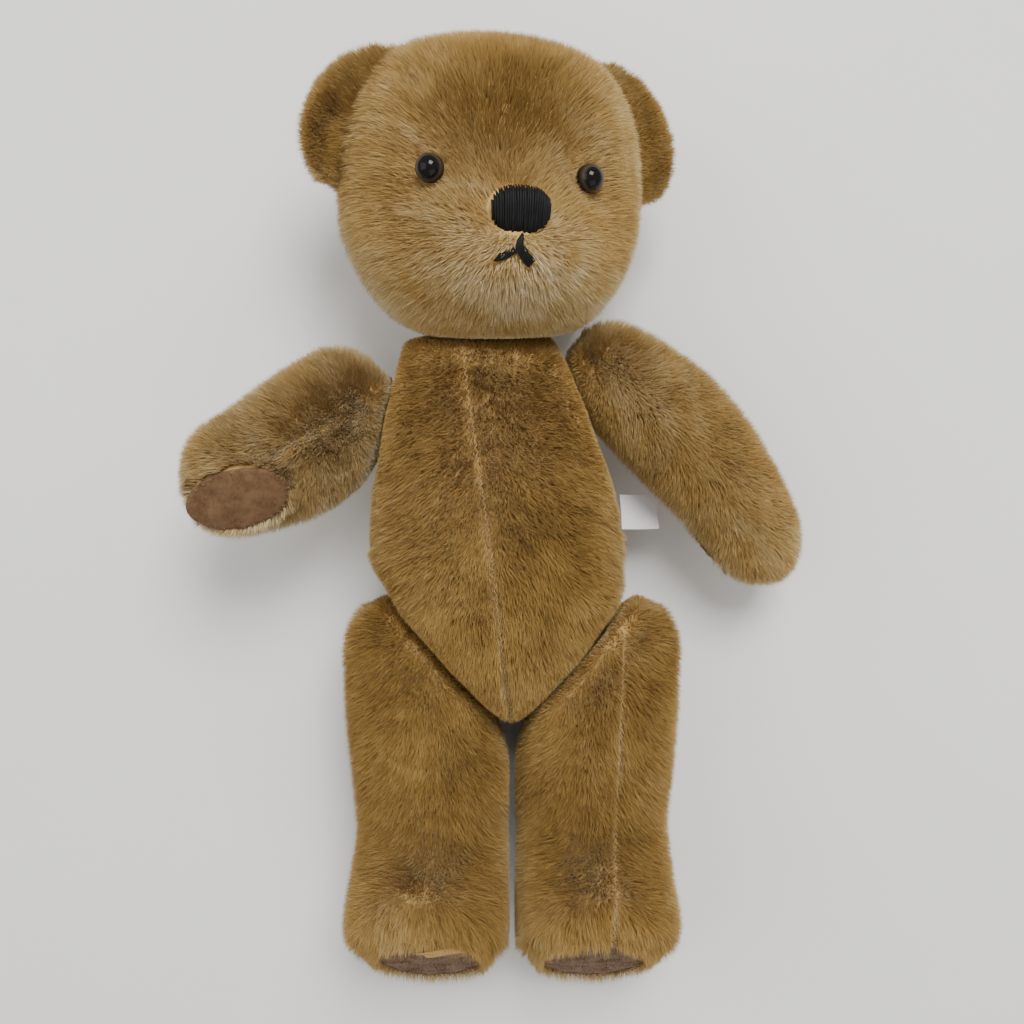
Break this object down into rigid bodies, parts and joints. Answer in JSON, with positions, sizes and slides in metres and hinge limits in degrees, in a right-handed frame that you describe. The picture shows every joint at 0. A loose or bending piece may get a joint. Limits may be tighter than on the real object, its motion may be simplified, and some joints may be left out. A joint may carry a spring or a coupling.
{
  "type": "jointed teddy bear",
  "caption": "Mohair-plush teddy bear with a swivelling head and disc-jointed arms and legs, lying on its back.",
  "frame": {"origin": "on the flat patch of the torso's back, where the bear lies", "axes": "+Z out of the bear's chest, +Y towards its head, +X towards its left side"},
  "size_m": [0.2265, 0.3536, 0.1173],
  "materials": {
    "mohair_plush": "soft golden mohair pile",
    "woodwool": "packed stuffing",
    "hardboard": "pressed board",
    "zinc_steel": "zinc plated",
    "dark_glass": "polished dark glass",
    "brown_felt": "pressed wool felt",
    "black_thread": "satin stitch cotton",
    "white_satin_tape": "white printed tape, plain here",
    "gold_woven_tape": "woven tape, plain here"
  },
  "bodies": {
    "arm_left": {"arm_left_skin": "mohair_plush", "arm_left_stuffing": "woodwool", "paw_pad_left": "brown_felt", "shoulder_left_bolt": "zinc_steel", "shoulder_left_disc_limb": "hardboard", "shoulder_left_locknut": "zinc_steel", "shoulder_left_washer_limb": "zinc_steel"},
    "arm_right": {"arm_right_skin": "mohair_plush", "arm_right_stuffing": "woodwool", "paw_pad_right": "brown_felt", "shoulder_right_bolt": "zinc_steel", "shoulder_right_disc_limb": "hardboard", "shoulder_right_locknut": "zinc_steel", "shoulder_right_washer_limb": "zinc_steel"},
    "torso": {"care_label": "white_satin_tape", "hip_left_disc_torso": "hardboard", "hip_left_washer_torso": "zinc_steel", "hip_right_disc_torso": "hardboard", "hip_right_washer_torso": "zinc_steel", "neck_disc_torso": "hardboard", "neck_washer_torso": "zinc_steel", "shoulder_left_disc_torso": "hardboard", "shoulder_left_washer_torso": "zinc_steel", "shoulder_right_disc_torso": "hardboard", "shoulder_right_washer_torso": "zinc_steel", "torso_skin": "mohair_plush", "torso_stuffing": "woodwool"},
    "head": {"ear_left": "mohair_plush", "ear_right": "mohair_plush", "eye_left": "dark_glass", "eye_right": "dark_glass", "eye_washer_left": "zinc_steel", "eye_washer_right": "zinc_steel", "head_skin": "mohair_plush", "head_stuffing": "woodwool", "mouth": "black_thread", "neck_bolt": "zinc_steel", "neck_disc_limb": "hardboard", "neck_locknut": "zinc_steel", "neck_washer_limb": "zinc_steel", "nose": "black_thread"},
    "leg_right": {"foot_label": "gold_woven_tape", "hip_right_bolt": "zinc_steel", "hip_right_disc_limb": "hardboard", "hip_right_locknut": "zinc_steel", "hip_right_washer_limb": "zinc_steel", "leg_right_skin": "mohair_plush", "leg_right_stuffing": "woodwool", "sole_right": "brown_felt"},
    "leg_left": {"hip_left_bolt": "zinc_steel", "hip_left_disc_limb": "hardboard", "hip_left_locknut": "zinc_steel", "hip_left_washer_limb": "zinc_steel", "leg_left_skin": "mohair_plush", "leg_left_stuffing": "woodwool", "sole_left": "brown_felt"}
  },
  "joints": [
    {"name": "neck_swivel", "type": "hinge", "parent": "torso", "child": "head", "pos_m": [-0.0095, 0.066, 0.045], "axis": [0, 0.9659, 0.2588], "continuous": true},
    {"name": "shoulder_left", "type": "hinge", "parent": "torso", "child": "arm_left", "pos_m": [0.024, 0.04355, 0.041], "axis": [-0.9272, -0.3746, 0], "range_deg": [-90, 90]},
    {"name": "hip_left", "type": "hinge", "parent": "torso", "child": "leg_left", "pos_m": [0.026, -0.052, 0.038], "axis": [-0.7431, 0.6691, 0], "range_deg": [-90, 120]},
    {"name": "shoulder_right", "type": "hinge", "parent": "torso", "child": "arm_right", "pos_m": [-0.04474, 0.03754, 0.041], "axis": [-0.9781, 0.2079, 0], "range_deg": [-90, 90]},
    {"name": "hip_right", "type": "hinge", "parent": "torso", "child": "leg_right", "pos_m": [-0.026, -0.052, 0.038], "axis": [-0.7431, -0.6691, 0], "range_deg": [-90, 120]}
  ]
}
